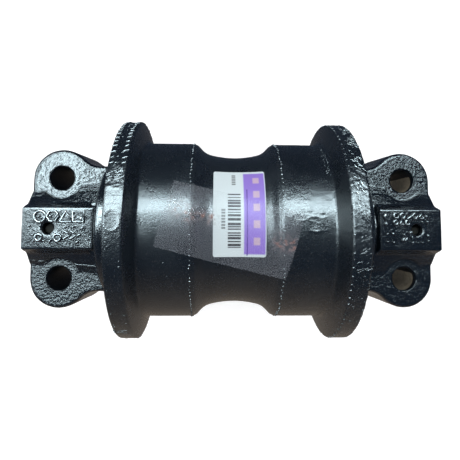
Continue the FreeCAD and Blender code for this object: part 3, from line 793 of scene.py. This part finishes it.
def tape(outline):
    """Clear tape, laid askew over both treads. It is pulled taut across the waist, over the label."""
    a, b = np.meshgrid(np.linspace(-0.5, 0.5, 150) * TAPE_LENGTH, np.linspace(-0.5, 0.5, 80) * TAPE_WIDTH)
    x = TAPE_MIDDLE_X + a * cos(TAPE_TURN) - b * sin(TAPE_TURN)
    angle = (a * sin(TAPE_TURN) + b * cos(TAPE_TURN)) / TREAD_R
    mesh = sheet("clear_tape", x, angle, np.maximum(radius_at(outline, x), TREAD_R) + TAPE_GAP, TAPE_T)
    rust = np.zeros(x.shape)
    traces = ((-37, 12, 5), (-30, 9, 5), (-22, 8, 3), (-16, 6.5, 3.5), (27, -6.5, 5), (34, -8, 4))
    for rust_x, rust_angle, reach in traces:
        apart = (x / MM - rust_x) ** 2 + ((np.degrees(angle) - rust_angle) * 1.1) ** 2
        rust = np.maximum(rust, np.exp(-apart / reach ** 2))
    p = cad_points("barcode_label")
    side = np.arctan2(p[:, 1], p[:, 2])
    wetted = between(x, 0.95 * p[:, 0].min(), 0.95 * p[:, 0].max(), MM)
    wetted = wetted * between(angle, 0.74 * side.min(), 0.74 * side.max(), 0.02)
    point_values(mesh, "rust", np.tile(rust.ravel(), 2))
    point_values(mesh, "wetted", np.tile(wetted.ravel(), 2))
    new_piece("tape_sheet", mesh, "roller", "tape_film", MATERIALS["tape_film"], "clear_tape")


def outline_of(kind, x, y, size):
    """Points of a plain foundry figure, in millimetres, and whether they close."""
    sides, turn = {"ring": (20, 0), "triangle": (3, pi / 2), "square": (4, pi / 4), "hexagon": (6, 0),
                   "chevron": (3, 0)}[kind]
    corners = [(x + size * cos(turn + 2 * pi * k / sides), y + size * sin(turn + 2 * pi * k / sides))
               for k in range(sides)]
    if kind == "chevron":
        return [corners[1], corners[0], corners[2]], False
    return corners, True


def foundry_marks(name, figures, beads, stroke_r):
    """Raised figures and beads cast on a block's top. A bead is x, y, length, width and tilt."""
    curve = bpy.data.curves.new(name, "CURVE")
    curve.dimensions = "3D"
    curve.bevel_depth = stroke_r * MM
    curve.bevel_resolution = 3
    curve.use_fill_caps = True
    for kind, x, y, size in figures:
        points, closed = outline_of(kind, x, y, size)
        spline = curve.splines.new("POLY")
        spline.use_cyclic_u = closed
        spline.points.add(len(points) - 1)
        for target, (px, py) in zip(spline.points, points):
            target.co = (px * MM, py * MM, 0, 1)
    work = bpy.data.objects.new(name + "_work", curve)
    tubes = bpy.data.meshes.new_from_object(work)
    bpy.data.objects.remove(work)
    bm = bmesh.new()
    bm.from_mesh(tubes)
    for x, y, length, width, tilt in beads:
        place = Matrix.Translation((x * MM, y * MM, 0)) @ Matrix.Rotation(radians(tilt), 4, "Z")
        size = Matrix.Diagonal((length / 2 * MM, width / 2 * MM, 1.1 * stroke_r * MM, 1))
        bmesh.ops.create_icosphere(bm, subdivisions=2, radius=1, matrix=place @ size)
    mesh = bpy.data.meshes.new(name)
    bm.to_mesh(mesh)
    bm.free()
    mesh.transform(Matrix.Translation((0, 0, BLOCK_TOP_Z + 0.5 * MM)))
    mesh.shade_smooth()
    new_piece(name, mesh, "axle", "collar_paint", MATERIALS["burr_paint"])


LEFT_FIGURES = [
    ("ring", -133.6, 8.0, 3.8), ("hexagon", -125.0, 8.2, 4.0), ("triangle", -116.2, 6.8, 4.8),
    ("square", -107.6, 8.0, 5.2), ("ring", -134.2, -6.2, 2.2), ("ring", -121.4, -6.4, 2.4),
    ("chevron", -115.6, -4.6, 3.0), ("chevron", -111.2, -4.6, 3.0),
]
RIGHT_FIGURES = [
    ("square", 113.6, 10.0, 2.3), ("ring", 118.2, 10.0, 1.7), ("chevron", 122.6, 9.8, 2.2),
    ("hexagon", 127.0, 9.8, 1.9), ("triangle", 131.4, 9.2, 2.3), ("ring", 113.2, 5.2, 1.4),
    ("triangle", 117.4, 4.8, 1.9), ("square", 121.6, 5.2, 1.9),
]
LEFT_BEADS = [
    (-134.2, 8.0, 2.2, 1.4, 30), (-126.6, 8.3, 2.6, 1.6, 100), (-122.4, 8.4, 6.0, 1.5, 62),
    (-110.4, 8.0, 2.6, 1.5, 20), (-138.2, -4.6, 2.4, 1.4, 40), (-137.6, -9.0, 1.8, 1.3, 0),
    (-126.2, -8.6, 3.8, 1.4, 50), (-130.6, -8.6, 2.4, 1.4, -40), (-105.6, 6.4, 2.2, 4.6, 10),
    (-106.8, -4.6, 3.2, 2.2, 30), (-108.0, -9.4, 3.0, 2.0, 10), (-104.6, 0.6, 2.6, 2.0, -20),
    (-141.0, 1.6, 3.2, 1.4, 15), (-117.0, 0.6, 3.4, 1.2, 5), (-111.0, 1.0, 3.0, 1.2, -8),
]
RIGHT_BEADS = [
    (106.0, 9.0, 3.0, 6.0, 0), (106.4, 4.2, 2.4, 2.6, 0), (132.4, 5.6, 2.2, 1.4, -25),
    (135.0, 9.8, 2.4, 1.5, 20), (135.8, 5.8, 2.2, 1.4, 40), (107.4, -2.8, 2.2, 1.2, 0),
    (111.6, -3.0, 3.6, 1.3, -32), (119.0, -3.2, 2.4, 1.3, -28), (123.8, -1.6, 3.2, 1.6, 40),
    (107.4, -8.2, 2.4, 1.1, 10), (112.0, -8.6, 2.6, 1.1, 0), (118.2, -6.6, 4.6, 1.2, 60),
    (120.2, -6.6, 4.6, 1.2, 60), (125.2, -8.6, 2.2, 1.2, 20), (128.6, -8.9, 1.6, 1.3, 0),
    (131.8, -8.8, 1.9, 1.1, -10), (136.2, -7.6, 1.7, 1.3, 30), (136.4, -4.0, 3.0, 1.5, -35),
    (124.8, -5.0, 1.4, 2.0, 0),
]


def build():
    shell, outline = shell_mesh()
    new_piece("roller_shell", shell, "roller", "shell_paint", MATERIALS["shell_paint"],
              "shell_half_left", "shell_half_right")
    new_piece("raised_marks", raised_marks(outline), "roller", "shell_paint", MATERIALS["burr_paint"])
    for node in ("collar_left", "collar_right"):
        new_piece(node + "_casting", cast_mesh(node), "axle", "collar_paint",
                  MATERIALS["collar_paint"], node)
    foundry_marks("foundry_marks_left", LEFT_FIGURES, LEFT_BEADS, 0.95)
    foundry_marks("foundry_marks_right", RIGHT_FIGURES, RIGHT_BEADS, 0.75)
    label(outline)
    tape(outline)
    for row in frame["record"]["subparts"]:
        mesh = frame["nodes"][row["node"]].data
        mesh.materials.clear()
        mesh.materials.append(MATERIALS[row["material_slot"]])


# ---------------------------------------------------------------- stage

def stage():
    """Pale floor under the flanges, plain soft light and a dim surround that the gloss reflects."""
    profile = [(0.02, 0), (0.6, 0), (1.4, 0), (2.2, 0), (2.6, 0.05), (2.9, 0.2), (3.05, 0.5), (3.1, 1.2),
               (3.1, 3.0)]
    turn = np.linspace(0, 2 * pi, 64, endpoint=False)
    bowl = np.array([[(r * cos(t), r * sin(t), z - FLANGE_R - 0.0005) for t in turn] for r, z in profile])
    mesh = grid_mesh("floor", bowl, False, True)
    bm = bmesh.new()
    bm.from_mesh(mesh)
    bmesh.ops.holes_fill(bm, edges=[e for e in bm.edges if e.is_boundary and e.verts[0].co.length < 0.5])
    bm.to_mesh(mesh)
    bm.free()
    floor = bpy.data.objects.new("floor", mesh)
    bpy.context.scene.collection.objects.link(floor)
    mesh.materials.append(floor_material())
    floor.visible_glossy = False

    def area(name, place, look_at, size_x, size_y, power, colour, glossy, diffuse):
        light = bpy.data.lights.new(name, "AREA")
        light.shape = "RECTANGLE"
        light.size, light.size_y = size_x, size_y
        light.energy = power
        light.color = colour
        lamp = bpy.data.objects.new(name, light)
        bpy.context.scene.collection.objects.link(lamp)
        lamp.location = place
        lamp.rotation_euler = (Vector(look_at) - Vector(place)).to_track_quat("-Z", "Y").to_euler()
        lamp.visible_camera = False
        lamp.visible_glossy = glossy
        lamp.visible_diffuse = diffuse

    cool = (0.74, 0.93, 1.0)
    area("key", (0.0, 0.47, 0.885), (0, 0, 0), 1.20, 0.27, 19.5, cool, True, False)
    area("side", (-0.467, 0.185, 0.95), (-0.125, 0.036, 0), 0.30, 0.18, 4.8, cool, True, False)
    area("left", (-0.80, 0.22, 0.50), (0, 0, 0), 0.50, 0.50, 8.0, cool, True, False)
    area("halo", (-0.10, 0.22, 1.05), (0, 0, 0), 1.70, 0.90, 0.7, cool, True, False)
    area("fill", (-0.2, 0.2, 1.6), (0, 0, 0), 3.2, 3.2, 52, (1, 1, 1), False, True)

    world = bpy.data.worlds.new("surround")
    bpy.context.scene.world = world
    world.use_nodes = True
    tree = world.node_tree
    place = tree.nodes.new("ShaderNodeTexCoord").outputs["Generated"]
    dot = tree.nodes.new("ShaderNodeVectorMath")
    dot.operation = "DOT_PRODUCT"
    dot.inputs[1].default_value = (0, -0.8, -0.6)
    tree.links.new(place, dot.inputs[0])
    ramp = tree.nodes.new("ShaderNodeValToRGB")
    dark, bright = ramp.color_ramp.elements
    dark.position, dark.color = 0.20, (0.034, 0.048, 0.074, 1)
    bright.position, bright.color = 0.95, (0.27, 0.23, 0.19, 1)
    tree.links.new(dot.outputs["Value"], ramp.inputs[0])
    tree.links.new(ramp.outputs[0], tree.nodes["Background"].inputs["Color"])
    tree.nodes["Background"].inputs["Strength"].default_value = 1.0
    bpy.context.scene.view_settings.view_transform = "Standard"


def camera():
    data = bpy.data.cameras.new("camera")
    data.sensor_width = 36
    data.lens = CAMERA_LENS
    data.shift_y = CAMERA_SHIFT_Y
    data.clip_start = 0.01
    eye = bpy.data.objects.new("camera", data)
    bpy.context.scene.collection.objects.link(eye)
    eye.location = CAMERA_PLACE
    eye.rotation_mode = "ZYX"
    eye.rotation_euler = [radians(a) for a in CAMERA_TURN]
    bpy.context.scene.camera = eye


build()
stage()
camera()
